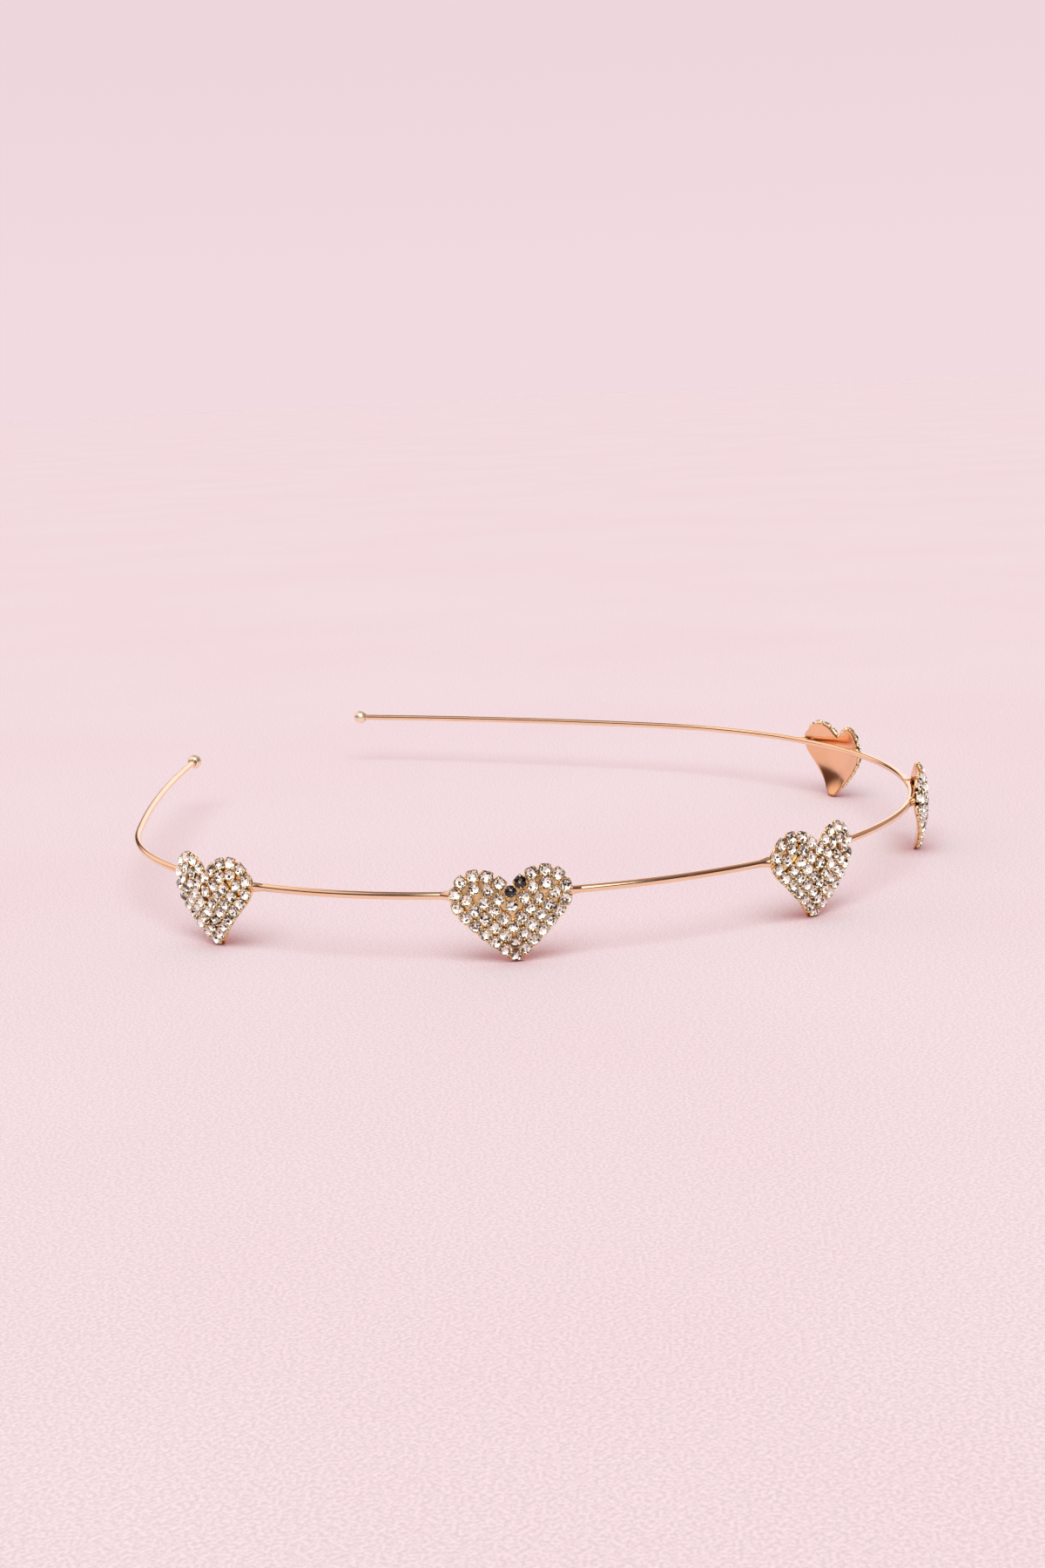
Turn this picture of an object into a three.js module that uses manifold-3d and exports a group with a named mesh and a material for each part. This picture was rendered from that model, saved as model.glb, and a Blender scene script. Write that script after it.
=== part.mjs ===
// Rhinestone heart headband: an open circlet of springy gilt wire with five stone-set hearts soldered
// to its outside and a ball on each end. It stands on the tips of the hearts with the wire level.
// Millimetres, +Z up, the middle heart at the front (-Y) and the open ends at the back (+Y).

import * as THREE from 'three';
import { mergeVertices } from 'three/addons/utils/BufferGeometryUtils.js';
import Module from 'manifold-3d';

// The wire: thickness, height of its axis over the heart tips, and its bends from the left end to the right
const WIRE_DIAMETER = 1.3;
const WIRE_HEIGHT = 10.6;
const WIRE_SIDES = 10;
const WIRE_STEPS = 64;
const BENDS = [
  { stretch: 'left arm', radius: 410, length: 71.5 },
  { stretch: 'left side', radius: 66, length: 94.5 },
  { stretch: 'front', radius: 76, length: 116.8 },
  { stretch: 'right side', radius: 86.5, length: 98 },
  { stretch: 'right arm', radius: 410, length: 73.5 },
];
const FRONT_BEND = 2;

// The hearts: spacing along the wire, place counted from the middle one, how far the solderer's hand slipped
// along the wire, and lean to the left in degrees
const HEART_SPACING = 52.7;
const HEARTS = [
  { name: 'heart_1', place: -2, slip: -0.5, lean: 1.5 },
  { name: 'heart_2', place: -1, slip: -0.4, lean: 2.4 },
  { name: 'heart_3', place: 0, slip: 0, lean: 0 },
  { name: 'heart_4', place: 1, slip: 0, lean: 0 },
  { name: 'heart_5', place: 2, slip: -0.6, lean: 1.5 },
];

// Heart outline, measured from the wire's crossing: lobes of two arcs each, long sides and a blunt tip
const LOBE_TOP = 4.65;
const LOBE_OFFSET = 5.15;
const LOBE_INNER_RADIUS = 6.2;
const LOBE_OUTER_RADIUS = 4.6;
const LOBE_WRAP = THREE.MathUtils.degToRad(44);
const TIP = -WIRE_HEIGHT;
const TIP_HALF_WIDTH = 0.8;
const ARC_DIVISIONS = 3;
const ON_AXIS = 1e-6;

// Layers of a heart from the back, pressed to one dome: the plate, then the sheet of cups with its stones
const DOME_RADIUS = 26;
const DOME_CENTRE = -1.3;
const DOME_RINGS = [1, 0.7, 0.35];
const PLATE_BACK = 1.9;
const PLATE_THICKNESS = 0.4;
const LAYER_GAP = 0.2;
const CUP_DEPTH = 0.35;
const CUP_SCALE = 0.995;

// Stones: an eight-sided crown with a table, in two rows that follow the outline and one V-shaped core row;
// they sit close together along the sides and fan out over the lobes
const STONE_FACETS = 8;
const STONE_RADIUS = 0.88;
const TABLE_RADIUS = 0.5;
const CROWN_HEIGHT = 0.5;
const SIDE_PITCH = 2;
const STONE_ROWS = [
  { row: 'outer', inset: 1, lobeGaps: 6, sideGaps: 6 },
  { row: 'inner', inset: 2.9, lobeGaps: 5, sideGaps: 4 },
];
const CORE_ROW = { top: [4.2, -0.6], bottom: [0, -4.7], gaps: 3 };

// Solder fillets between the wire and the two edges of a heart, and the drilled balls on the ends
const SOLDER = { reach: 9.35, halfLength: 2, radius: 0.85, outward: 0.35, around: 8, along: 5 };
const BALL = { radius: 1.5, clearance: 0.3, past: 0.2, around: 12, steps: 8 };

const GOLD = new THREE.MeshStandardMaterial({ color: 0xe2b27c, roughness: 0.18, metalness: 1 });
const CRYSTAL = new THREE.MeshStandardMaterial({ color: 0xeee8e2, roughness: 0.08, metalness: 0.2 });

const wasm = await Module();
wasm.setup();

// A closed geometry as a solid that can be joined
function toSolid(geometry) {
  const bare = geometry.clone();
  bare.deleteAttribute('normal');
  bare.deleteAttribute('uv');
  const merged = mergeVertices(bare);
  const mesh = new wasm.Mesh({
    numProp: 3,
    vertProperties: Float32Array.from(merged.attributes.position.array),
    triVerts: Uint32Array.from(merged.index.array),
  });
  return new wasm.Manifold(mesh);
}

// A joined solid as a geometry
function toGeometry(solid) {
  const { vertProperties, triVerts } = solid.getMesh();
  const geometry = new THREE.BufferGeometry();
  geometry.setAttribute('position', new THREE.BufferAttribute(vertProperties, 3));
  geometry.setIndex(new THREE.BufferAttribute(triVerts, 1));
  geometry.computeVertexNormals();
  return geometry;
}

// The wire's axis: level arcs that follow one another, the middle of the front heading along +X
class BentWire extends THREE.Curve {
  constructor(bends) {
    super();
    this.bends = bends;
    this.total = bends.reduce((sum, { length }) => sum + length, 0);
    const before = bends.slice(0, FRONT_BEND).reduce((sum, { length }) => sum + length, 0);
    this.middle = before + bends[FRONT_BEND].length / 2;
    this.firstHeading = 0;
    this.firstHeading = -this.at(this.middle).heading;
  }

  // Point on the axis and heading there, after a run of wire from the left end
  at(run) {
    const point = new THREE.Vector3(0, 0, WIRE_HEIGHT);
    let heading = this.firstHeading;
    let left = run;
    for (const { radius, length } of this.bends) {
      const step = Math.min(left, length);
      const next = heading + step / radius;
      point.x += radius * (Math.sin(next) - Math.sin(heading));
      point.y += radius * (Math.cos(heading) - Math.cos(next));
      heading = next;
      left -= step;
    }
    return { point, heading };
  }

  getPoint(t) {
    return this.at(t * this.total).point;
  }
}

// Right half of the heart, drawn in by an inset: from the cleft over the lobe and down the side to the tip
function halfHeart(inset) {
  const innerCentre = new THREE.Vector2(LOBE_OFFSET, LOBE_TOP - LOBE_INNER_RADIUS);
  const outerCentre = new THREE.Vector2(LOBE_OFFSET, LOBE_TOP - LOBE_OUTER_RADIUS);
  const cleftAngle = Math.acos(LOBE_OFFSET / LOBE_INNER_RADIUS);
  const cleft = innerCentre.y + LOBE_INNER_RADIUS * Math.sin(cleftAngle);

  // The side arc leaves the lobe without a kink and passes through the corner of the blunt tip
  const inward = new THREE.Vector2(-Math.cos(LOBE_WRAP), Math.sin(LOBE_WRAP));
  const sideStart = outerCentre.clone().addScaledVector(inward, -LOBE_OUTER_RADIUS);
  const chord = sideStart.clone().sub(new THREE.Vector2(TIP_HALF_WIDTH, TIP));
  const sideRadius = -chord.lengthSq() / (2 * chord.dot(inward));
  const sideCentre = sideStart.clone().addScaledVector(inward, sideRadius);

  const drawnRadius = sideRadius - inset;
  const axisCrossing = sideCentre.y - Math.sqrt(drawnRadius ** 2 - sideCentre.x ** 2);
  const low = Math.max(TIP + inset, axisCrossing);
  const lowAngle = Math.asin((low - sideCentre.y) / drawnRadius);

  const path = new THREE.Path();
  if (inset > 0) path.absarc(0, cleft, inset, -Math.PI / 2, -cleftAngle, false);
  const top = Math.PI / 2;
  path.absarc(innerCentre.x, innerCentre.y, LOBE_INNER_RADIUS - inset, Math.PI - cleftAngle, top, true);
  path.absarc(outerCentre.x, outerCentre.y, LOBE_OUTER_RADIUS - inset, top, -LOBE_WRAP, true);
  path.absarc(sideCentre.x, sideCentre.y, drawnRadius, -LOBE_WRAP, lowAngle, true);
  path.lineTo(0, low);
  return path;
}

// Points of one half and of its mirror image, with those on the axis once
function withMirror(half) {
  const mirrored = half.filter(({ x }) => x > ON_AXIS).reverse();
  return [...half, ...mirrored.map(({ x, y }) => new THREE.Vector2(-x, y))];
}

// Whole outline, anticlockwise, scaled about the top of the dome
function heartOutline(scale) {
  const corners = withMirror(halfHeart(0).getPoints(ARC_DIVISIONS)).reverse();
  return corners.map(({ x, y }) => new THREE.Vector2(x * scale, DOME_CENTRE + (y - DOME_CENTRE) * scale));
}

// Point of the dome over a place on the heart
function onDome(x, y, level) {
  return new THREE.Vector3(x, y, level - (x ** 2 + (y - DOME_CENTRE) ** 2) / (2 * DOME_RADIUS));
}

// Corners and triangles of one closed surface
class Surface {
  constructor() {
    this.corners = [];
    this.triangles = [];
  }

  add(corner) {
    return this.corners.push(corner) - 1;
  }

  // Strip of triangles between two rings of corners, facing out where the first is the outer or lower one
  strip(ring, next) {
    ring.forEach((corner, i) => {
      const j = (i + 1) % ring.length;
      this.triangles.push(corner, ring[j], next[j], corner, next[j], next[i]);
    });
  }

  fan(ring, hub) {
    ring.forEach((corner, i) => this.triangles.push(corner, ring[(i + 1) % ring.length], hub));
  }

  geometry() {
    const geometry = new THREE.BufferGeometry().setFromPoints(this.corners);
    geometry.setIndex(this.triangles);
    return geometry;
  }
}

// A smooth domed face, facing forwards, or backwards where its outline runs clockwise; gives its edge back
function domedFace(surface, outline, level) {
  const rings = DOME_RINGS.map((scale) => outline.map(({ x, y }) => {
    const drawnY = DOME_CENTRE + (y - DOME_CENTRE) * scale;
    return surface.add(onDome(x * scale, drawnY, level));
  }));
  rings.slice(1).forEach((ring, i) => surface.strip(rings[i], ring));
  surface.fan(rings.at(-1), surface.add(onDome(0, DOME_CENTRE, level)));
  return rings[0];
}

// Centres of a row of stones from the cleft to the tip: even gaps over the lobe, then the side's own pitch
function rowPlaces({ inset, lobeGaps, sideGaps }) {
  const half = halfHeart(inset);
  const length = half.getLength();
  const lobe = length - sideGaps * SIDE_PITCH;
  const places = [];
  for (let i = 0; i <= lobeGaps + sideGaps; i++) {
    const run = i <= lobeGaps ? (lobe * i) / lobeGaps : lobe + (i - lobeGaps) * SIDE_PITCH;
    places.push(half.getPoint(Math.min(1, run / length)));
  }
  return withMirror(places);
}

// Centres of a heart's stones
function stonePlaces() {
  const rows = STONE_ROWS.map(rowPlaces);
  const [top, bottom] = [CORE_ROW.top, CORE_ROW.bottom].map((place) => new THREE.Vector2(...place));
  const core = withMirror(new THREE.LineCurve(top, bottom).getSpacedPoints(CORE_ROW.gaps));
  return [...rows.flat(), ...core];
}

// Ring of corners square to the dome around a stone, at a height over the cups
function stoneRing({ x, y }, level, radius, height) {
  const seat = onDome(x, y, level);
  const normal = new THREE.Vector3(x, y - DOME_CENTRE, DOME_RADIUS).normalize();
  const turn = new THREE.Quaternion().setFromUnitVectors(new THREE.Vector3(0, 0, 1), normal);
  return Array.from({ length: STONE_FACETS }, (_, i) => {
    const angle = (2 * Math.PI * (i + 0.5)) / STONE_FACETS;
    const corner = new THREE.Vector3(radius * Math.cos(angle), radius * Math.sin(angle), height);
    return corner.applyQuaternion(turn).add(seat);
  });
}

// The front of the cups with a cut stone standing out of each; gives its edge back
function stonedFace(surface, outline, level) {
  const edge = outline.map(({ x, y }) => onDome(x, y, level));
  const girdles = stonePlaces().map((place) => stoneRing(place, level, STONE_RADIUS, 0));
  const numbers = [edge, ...girdles].map((ring) => ring.map((corner) => surface.add(corner)));
  const flat = (ring) => ring.map(({ x, y }) => new THREE.Vector2(x, y));
  const faces = THREE.ShapeUtils.triangulateShape(flat(edge), girdles.map(flat));
  const numbered = numbers.flat();
  surface.triangles.push(...faces.flat().map((corner) => numbered[corner]));

  stonePlaces().forEach((place, i) => {
    const table = stoneRing(place, level, TABLE_RADIUS, CROWN_HEIGHT).map((corner) => surface.add(corner));
    surface.strip(numbers[i + 1], table);
    for (let corner = 1; corner < STONE_FACETS - 1; corner++) {
      surface.triangles.push(table[0], table[corner], table[corner + 1]);
    }
  });
  return numbers[0];
}

// A heart's back plate
function plateGeometry() {
  const plate = new Surface();
  const outline = heartOutline(1);
  const front = domedFace(plate, outline, PLATE_BACK + PLATE_THICKNESS);
  const back = domedFace(plate, outline.toReversed(), PLATE_BACK);
  plate.strip(back.reverse(), front);
  return plate.geometry();
}

// A heart's sheet of cups and stones, clear of its plate
function stoneField() {
  const field = new Surface();
  const outline = heartOutline(CUP_SCALE);
  const cupBack = PLATE_BACK + PLATE_THICKNESS + LAYER_GAP;
  const front = stonedFace(field, outline, cupBack + CUP_DEPTH);
  const back = domedFace(field, outline.toReversed(), cupBack);
  field.strip(back.reverse(), front);
  return field.geometry();
}

// Run of wire from the left end to the middle of a heart
function heartRun(wire, { place, slip }) {
  return wire.middle + place * HEART_SPACING + slip;
}

// Group at a heart's place on the wire: its x runs along the wire, y up and z outwards
function heartSeat(wire, heart) {
  const { point, heading } = wire.at(heartRun(wire, heart));
  const seat = new THREE.Group();
  seat.position.copy(point);
  seat.rotation.set(Math.PI / 2, -THREE.MathUtils.degToRad(heart.lean), heading, 'ZYX');
  seat.updateMatrixWorld(true);
  return seat;
}

// The bare wire from end to end
function wireGeometry(wire) {
  const section = new THREE.Shape().absarc(0, 0, WIRE_DIAMETER / 2, 0, 2 * Math.PI);
  return new THREE.ExtrudeGeometry(section, {
    steps: WIRE_STEPS,
    curveSegments: WIRE_SIDES / 2,
    extrudePath: wire,
  });
}

// A fillet of solder drawn out along the wire, on the side of the plate
function solderGeometry(wire, run) {
  const { point, heading } = wire.at(run);
  const outward = new THREE.Vector3(Math.sin(heading), -Math.cos(heading), 0);
  point.addScaledVector(outward, SOLDER.outward);
  const fillet = new THREE.SphereGeometry(1, SOLDER.around, SOLDER.along);
  fillet.rotateZ(Math.PI / 2);
  fillet.scale(SOLDER.halfLength, SOLDER.radius, SOLDER.radius);
  fillet.rotateZ(heading);
  fillet.translate(point.x, point.y, point.z);
  return fillet;
}

// Wire, back plates and solder joined into one solid
function bandFrame(wire) {
  const plate = plateGeometry();
  let frame = toSolid(wireGeometry(wire));
  for (const heart of HEARTS) {
    frame = frame.add(toSolid(plate.clone().applyMatrix4(heartSeat(wire, heart).matrixWorld)));
    for (const side of [-1, 1]) {
      const run = heartRun(wire, heart) + side * SOLDER.reach;
      frame = frame.add(toSolid(solderGeometry(wire, run)));
    }
  }
  return toGeometry(frame);
}

// A ball with a blind hole that takes the end of the wire; its y axis points away from the wire
function ballGeometry() {
  const holeRadius = WIRE_DIAMETER / 2 + BALL.clearance;
  const holeEnd = BALL.clearance - BALL.past;
  const mouthAngle = Math.acos(holeRadius / BALL.radius);
  const profile = [new THREE.Vector2(0, holeEnd), new THREE.Vector2(holeRadius, holeEnd)];
  for (let i = 0; i < BALL.steps; i++) {
    const angle = THREE.MathUtils.lerp(-mouthAngle, Math.PI / 2, i / BALL.steps);
    profile.push(new THREE.Vector2(BALL.radius * Math.cos(angle), BALL.radius * Math.sin(angle)));
  }
  profile.push(new THREE.Vector2(0, BALL.radius));
  return new THREE.LatheGeometry(profile, BALL.around);
}

// The ball on one end of the wire
function tipBall(wire, name, run, outward) {
  const { point, heading } = wire.at(run);
  const away = new THREE.Vector3(Math.cos(heading), Math.sin(heading), 0).multiplyScalar(outward);
  const ball = new THREE.Mesh(ballGeometry(), GOLD);
  ball.name = name;
  ball.position.copy(point).addScaledVector(away, BALL.past);
  ball.quaternion.setFromUnitVectors(new THREE.Vector3(0, 1, 0), away);
  return ball;
}

const wire = new BentWire(BENDS);
const headband = new THREE.Group();

const frame = new THREE.Mesh(bandFrame(wire), GOLD);
frame.name = 'band_frame';
headband.add(frame);

const stones = stoneField();
for (const heart of HEARTS) {
  const seat = heartSeat(wire, heart);
  const field = new THREE.Mesh(stones, CRYSTAL);
  field.name = `${heart.name}_stones`;
  seat.add(field);
  headband.add(seat);
}

headband.add(tipBall(wire, 'tip_ball_left', 0, -1));
headband.add(tipBall(wire, 'tip_ball_right', wire.total, 1));

// The origin is at the middle of the object's outline, on the level that the heart tips stand on
const box = new THREE.Box3().setFromObject(headband, true);
const middle = box.getCenter(new THREE.Vector3());
headband.position.set(-middle.x, -middle.y, -box.min.z);

const part = new THREE.Group();
part.add(headband);

export default part;
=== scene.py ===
"""Looks of a rhinestone heart headband: gilt wire, five stone-set hearts and a ball on each end.

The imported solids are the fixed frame. Sizes are millimetres in the part's own frame, and a mesh becomes
metres when its object is made. Left and right are as seen from the front, where the middle heart is.
"""

import logging
import math
import random
from dataclasses import dataclass, field
from enum import Enum

import bmesh
import bpy
import numpy as np
from mathutils import Matrix, Vector


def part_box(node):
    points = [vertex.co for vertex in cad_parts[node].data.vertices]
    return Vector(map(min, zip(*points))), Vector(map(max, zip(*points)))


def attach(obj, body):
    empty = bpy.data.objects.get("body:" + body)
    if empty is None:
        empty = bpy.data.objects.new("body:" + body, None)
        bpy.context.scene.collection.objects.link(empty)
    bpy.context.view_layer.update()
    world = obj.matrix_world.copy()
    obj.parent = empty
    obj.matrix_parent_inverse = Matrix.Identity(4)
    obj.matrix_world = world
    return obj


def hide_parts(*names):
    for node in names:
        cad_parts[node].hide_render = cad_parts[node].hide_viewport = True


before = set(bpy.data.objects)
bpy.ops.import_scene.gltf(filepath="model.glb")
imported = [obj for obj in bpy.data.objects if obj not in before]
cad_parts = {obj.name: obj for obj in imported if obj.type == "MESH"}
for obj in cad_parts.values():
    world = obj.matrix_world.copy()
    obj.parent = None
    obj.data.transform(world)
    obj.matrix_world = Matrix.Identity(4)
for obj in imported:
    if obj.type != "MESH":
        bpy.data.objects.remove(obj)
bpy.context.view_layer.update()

MM = 0.001
BODY = "root"
FACET_LEAN = "facet_lean"
UP = np.array((0.0, 0.0, 1.0))
MIRROR = np.array((-1.0, 1.0))
SAME_PLACE = 1e-6
LOG = logging.getLogger("headband")

Colour = tuple[float, float, float]
Face = tuple[int, ...]
Given = bpy.types.NodeSocket | Vector | float | tuple[float, ...]


class RecordSlot(Enum):
    """Material slots of the record that the pieces take their finish from."""

    METAL = "gilt_metal"
    STONES = "cut_stones"


class FieldLayer(Enum):
    """Finishes on a heart's field of stones, in the order of its material slots."""

    CUP = 0
    STONE = 1
    FOIL = 2
    DULL_FOIL = 3


class FrameLayer(Enum):
    """Finishes on the soldered metal, in the order of its material slots."""

    WIRE = 0
    PLATE_BACK = 1
    PLATE_FACE = 2


class End(Enum):
    """Ends of the wire, with the sign of the way along it that leads out of them."""

    LEFT = -1
    RIGHT = 1


def smooth_step(value: np.ndarray | float, low: float, high: float) -> np.ndarray | float:
    """Smooth rise from 0 to 1.

    Args:
        value: Where to read the rise.
        low: Value at which it starts.
        high: Value at which it is complete.

    Returns:
        The rise at each value.
    """
    t = np.clip((value - low) / (high - low), 0.0, 1.0)
    return t * t * (3.0 - 2.0 * t)


def arc(centre: tuple[float, float], radius: float, start: float, end: float, points: int) -> np.ndarray:
    """Points on an arc, both ends included.

    Args:
        centre: Centre of the arc.
        radius: Radius of the arc.
        start: Angle of its first point, in radians.
        end: Angle of its last point.
        points: How many points to give.

    Returns:
        An array of (x, y) rows.
    """
    angles = np.linspace(start, end, points)
    return np.column_stack((centre[0] + radius * np.cos(angles), centre[1] + radius * np.sin(angles)))


def along_way(heading: float) -> np.ndarray:
    """Level direction of a heading."""
    return np.array((math.cos(heading), math.sin(heading), 0.0))


def outside_way(heading: float) -> np.ndarray:
    """Level direction square to a heading, to the outside of the band."""
    return np.array((math.sin(heading), -math.cos(heading), 0.0))


def spaced(line: np.ndarray, gaps: int, end_gaps: int = 0,
           end_pitch: float = 0.0) -> tuple[np.ndarray, np.ndarray]:
    """Places along a polyline: even gaps first, then gaps of a set pitch up to its end.

    Args:
        line: Points of the polyline.
        gaps: How many even gaps to start with.
        end_gaps: How many gaps of the set pitch follow.
        end_pitch: The set pitch.

    Returns:
        The places, both ends included, and the unit direction of the line at each.
    """
    steps = np.diff(line, axis=0)
    runs = np.concatenate(([0.0], np.cumsum(np.linalg.norm(steps, axis=1))))
    turn = runs[-1] - end_gaps * end_pitch
    wanted = np.concatenate((np.linspace(0.0, turn, gaps + 1), turn + end_pitch * np.arange(1, end_gaps + 1)))
    places = np.column_stack([np.interp(wanted, runs, line[:, axis]) for axis in (0, 1)])
    within = np.clip(np.searchsorted(runs, wanted, side="right") - 1, 0, len(steps) - 1)
    ways = steps[within]
    return places, ways / np.linalg.norm(ways, axis=1, keepdims=True)


class JoinedMesh:
    """Corners and faces of one object, gathered piece by piece in millimetres."""

    def __init__(self) -> None:
        """Starts with nothing in it."""
        self.corners: list[np.ndarray] = []
        self.faces: list[Face] = []
        self.slots: list[int] = []
        self.smooth: list[bool] = []
        self.leans: list[tuple[float, float, float]] = []
        self.count = 0

    def add(self, corners: np.ndarray, faces: list[Face], slot: int = 0, smooth: bool = True) -> None:
        """Adds a closed shape.

        Args:
            corners: Its corners, one row each.
            faces: Its faces, as numbers of its own corners.
            slot: Material slot of its faces.
            smooth: Whether its faces are shaded smooth.
        """
        self.corners.append(corners)
        self.faces.extend(tuple(self.count + corner for corner in face) for face in faces)
        self.slots.extend([slot] * len(faces))
        self.smooth.extend([smooth] * len(faces))
        self.leans.extend([(0.0, 0.0, 0.0)] * len(faces))
        self.count += len(corners)

    def skin(self, rings: np.ndarray, start: np.ndarray, end: np.ndarray,
             slots: list[int] | None = None) -> None:
        """Adds a closed skin over a row of rings, drawn together to a point at each end.

        Args:
            rings: Array of rings, each with as many corners as the next.
            start: Point that closes the first ring.
            end: Point that closes the last ring.
            slots: Material slot of each band of faces from start to end, or the first slot for all.
        """
        corners = np.vstack((rings.reshape(-1, 3), start, end))
        faces = skin_faces(*rings.shape[:2])
        self.add(corners, faces)
        if slots:
            self.slots[-len(faces):] = slots * rings.shape[1]

    def make(self, name: str, finishes: list[bpy.types.Material], crease: float) -> bpy.types.Object:
        """Makes the object, with every closed shape facing outwards.

        Args:
            name: Name of the piece.
            finishes: Materials in the order of the slots.
            crease: Angle between faces above which an edge stays sharp, in degrees.

        Returns:
            The object, linked to the scene.
        """
        mesh = bpy.data.meshes.new(name)
        mesh.from_pydata((np.vstack(self.corners) * MM).tolist(), [], self.faces)
        mesh.polygons.foreach_set("material_index", self.slots)
        mesh.polygons.foreach_set("use_smooth", self.smooth)
        shape = bmesh.new()
        shape.from_mesh(mesh)
        bmesh.ops.recalc_face_normals(shape, faces=shape.faces)
        shape.to_mesh(mesh)
        shape.free()
        mesh.set_sharp_from_angle(angle=math.radians(crease))
        leans = np.array(self.leans).ravel()
        mesh.attributes.new(FACET_LEAN, "FLOAT_VECTOR", "FACE").data.foreach_set("vector", leans)
        for finish in finishes:
            mesh.materials.append(finish)
        piece = bpy.data.objects.new(name, mesh)
        bpy.context.scene.collection.objects.link(piece)
        return piece


def skin_faces(rings: int, around: int) -> list[Face]:
    """Faces of a closed skin whose two end points come after its rings.

    Args:
        rings: How many rings it has.
        around: Corners in each ring.

    Returns:
        The faces, as numbers of the skin's corners.
    """
    start = rings * around
    end = start + 1
    last = (rings - 1) * around
    faces: list[Face] = []
    for i in range(around):
        j = (i + 1) % around
        faces.append((start, j, i))
        faces.extend((r * around + i, r * around + j, (r + 1) * around + j, (r + 1) * around + i)
                     for r in range(rings - 1))
        faces.append((last + i, last + j, end))
    return faces


def dress(piece: bpy.types.Object, node: str) -> None:
    """Hangs a piece on the frame in place of its node.

    Args:
        piece: The finished piece.
        node: Node that it stands for.
    """
    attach(piece, BODY)
    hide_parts(node)


class NodeBench:
    """Places and joins the nodes of one node tree."""

    NOOK_SAMPLES = 4

    def __init__(self, tree: bpy.types.NodeTree) -> None:
        """Starts on an empty tree."""
        self.tree = tree
        tree.nodes.clear()

    def node(self, kind: str, inputs: dict[str | int, Given] | None = None,
             **settings: object) -> bpy.types.Node:
        """Adds a node.

        Args:
            kind: Type of the node.
            inputs: Values or sources of its inputs, by name or number.
            **settings: Properties of the node.

        Returns:
            The node.
        """
        made = self.tree.nodes.new(kind)
        for name, value in settings.items():
            setattr(made, name, value)
        for name, value in (inputs or {}).items():
            if isinstance(value, bpy.types.NodeSocket):
                self.tree.links.new(value, made.inputs[name])
            else:
                made.inputs[name].default_value = value
        return made

    def grain(self, points: bpy.types.NodeSocket, scale: Given, detail: float) -> bpy.types.NodeSocket:
        """Noise over a surface.

        Args:
            points: Where each point of the surface is, in metres.
            scale: Swells in a metre.
            detail: Octaves of finer noise.

        Returns:
            The noise, around 0.5.
        """
        inputs = {"Vector": points, "Scale": scale, "Detail": detail}
        return self.node("ShaderNodeTexNoise", inputs).outputs[0]

    def span(self, value: bpy.types.NodeSocket, low: Given, high: Given, start: Given = 0.0,
             end: Given = 1.0) -> bpy.types.NodeSocket:
        """Brings a value from one span to another, smoothly.

        Args:
            value: The value.
            low: Where the span starts.
            high: Where it ends.
            start: What the start becomes.
            end: What the end becomes.

        Returns:
            The value in the new span.
        """
        inputs = {"Value": value, "From Min": low, "From Max": high, "To Min": start, "To Max": end}
        return self.node("ShaderNodeMapRange", inputs, interpolation_type="SMOOTHSTEP").outputs[0]

    def mix(self, share: Given, first: Given, second: Given) -> bpy.types.NodeSocket:
        """Mixes two colours.

        Args:
            share: Share of the second colour.
            first: First colour or its source.
            second: Second colour or its source.

        Returns:
            The mixed colour.
        """
        return self.node("ShaderNodeMix", {0: share, 6: first, 7: second}, data_type="RGBA").outputs[2]

    def vector(self, operation: str, *terms: Given) -> bpy.types.NodeSocket:
        """Works on vectors.

        Args:
            operation: What is done with them.
            *terms: The vectors or their sources, in order.

        Returns:
            The vector that it gives.
        """
        return self.node("ShaderNodeVectorMath", dict(enumerate(terms)), operation=operation).outputs[0]

    def openness(self, reach: float, low: float, high: float) -> bpy.types.NodeSocket:
        """How open a surface lies: the mask that places painted shade in nooks.

        Args:
            reach: How near another surface counts, in metres.
            low: Share of open sky up to which a place is a nook.
            high: Share of open sky from which it is in the clear.

        Returns:
            A value from 0 in a nook to 1 in the clear.
        """
        sky = self.node("ShaderNodeAmbientOcclusion", {"Distance": reach}, samples=self.NOOK_SAMPLES)
        return self.span(sky.outputs["AO"], low, high)

    def surface(self, inputs: dict[str, Given]) -> None:
        """Ends a material with its surface.

        Args:
            inputs: Values or sources of the surface's inputs, by name.
        """
        shader = self.node("ShaderNodeBsdfPrincipled", inputs)
        self.node("ShaderNodeOutputMaterial", {"Surface": shader.outputs[0]})


def new_material(name: str) -> tuple[bpy.types.Material, NodeBench]:
    """Starts a material.

    Args:
        name: Name of the finish.

    Returns:
        The material, and a bench on its empty node tree.
    """
    made = bpy.data.materials.new(name)
    made.use_nodes = True
    return made, NodeBench(made.node_tree)


def rgba(colour: Colour) -> tuple[float, float, float, float]:
    """The colour with full cover."""
    return (*colour, 1.0)


class Socket(Enum):
    """Kinds of socket on a shader group."""

    COLOUR = "NodeSocketColor"
    VALUE = "NodeSocketFloat"
    VECTOR = "NodeSocketVector"


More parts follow.
